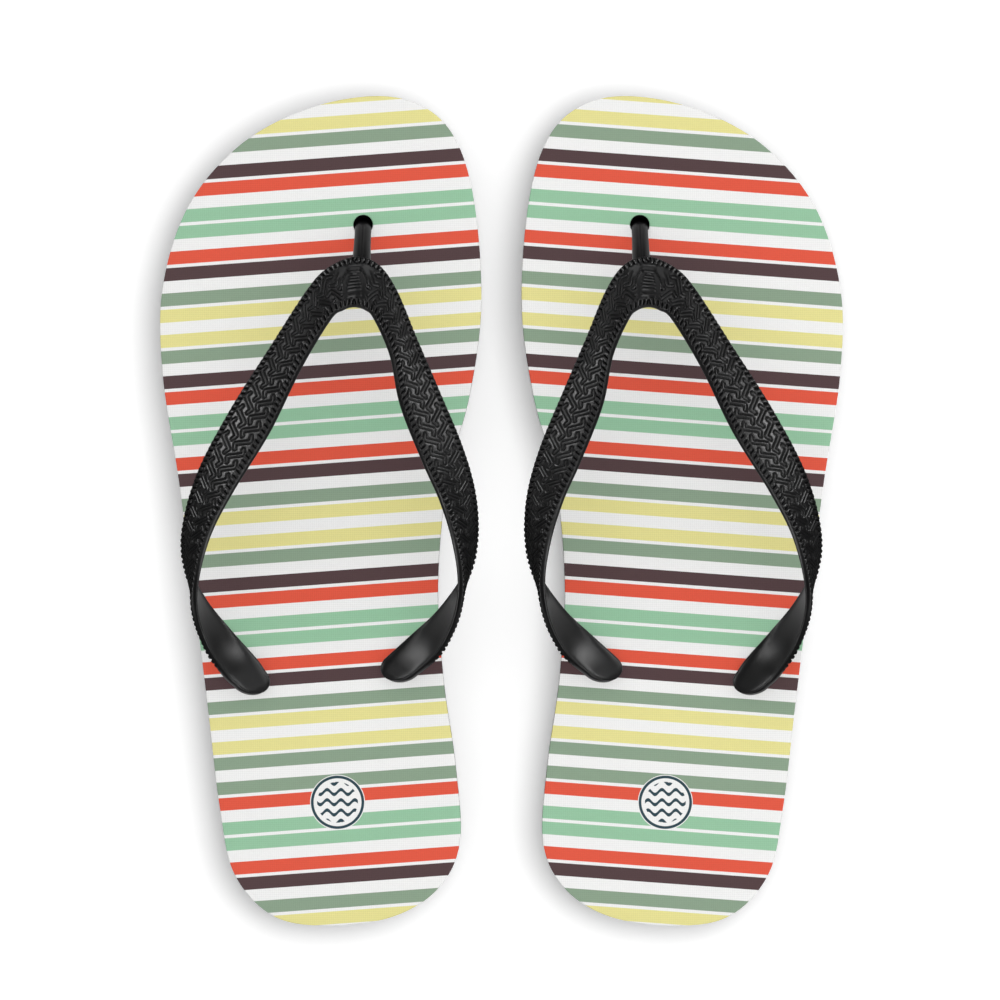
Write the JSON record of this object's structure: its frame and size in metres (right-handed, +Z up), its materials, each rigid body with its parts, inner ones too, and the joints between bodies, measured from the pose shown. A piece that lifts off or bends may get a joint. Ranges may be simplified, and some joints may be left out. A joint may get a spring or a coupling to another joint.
{
  "type": "flip-flop sandals",
  "caption": "Pair of flat flip-flop sandals with striped fabric footbeds, black rubber soles and moulded V-shaped toe-post straps; the soles bend at the ball of the foot.",
  "frame": {"origin": "on the ground, midway between the two soles and at the middle of their length", "axes": "+X to the wearer's right, +Y towards the toes, +Z up"},
  "size_m": [0.214, 0.26, 0.0482],
  "materials": {
    "footbed_fabric": "printed plain-weave polyester, coloured cross stripes on white",
    "midsole_foam": "matt black closed-cell foam, finely pebbled cut edge",
    "outsole_rubber": "matt black moulded rubber with grooved tread",
    "strap_rubber": "satin black moulded rubber, raised herringbone on the outer face, smooth inner face"
  },
  "bodies": {
    "left_forefoot": {"left_footbed_fabric_front": "footbed_fabric", "left_midsole_front": "midsole_foam", "left_outsole_front": "outsole_rubber", "left_strap": "strap_rubber"},
    "left_heel": {"left_footbed_fabric_rear": "footbed_fabric", "left_midsole_rear": "midsole_foam", "left_outsole_rear": "outsole_rubber"},
    "right_forefoot": {"right_footbed_fabric_front": "footbed_fabric", "right_midsole_front": "midsole_foam", "right_outsole_front": "outsole_rubber", "right_strap": "strap_rubber"},
    "right_heel": {"right_footbed_fabric_rear": "footbed_fabric", "right_midsole_rear": "midsole_foam", "right_outsole_rear": "outsole_rubber"}
  },
  "joints": [
    {"name": "left_sole_flex", "type": "hinge", "parent": "left_forefoot", "child": "left_heel", "pos_m": [-0.05685, 0.042, 0.015], "axis": [-1, 0, 0], "range_deg": [0, 45], "stiffness_Nm_per_rad": 0.9, "deforming": ["left_strap"]},
    {"name": "right_stride", "type": "slide", "parent": "left_forefoot", "child": "right_forefoot", "axis": [0, 1, 0], "range_m": [-0.25, 0.25]},
    {"name": "right_sole_flex", "type": "hinge", "parent": "right_forefoot", "child": "right_heel", "pos_m": [0.05685, 0.042, 0.015], "axis": [-1, 0, 0], "range_deg": [0, 45], "stiffness_Nm_per_rad": 0.9, "deforming": ["right_strap"]}
  ]
}
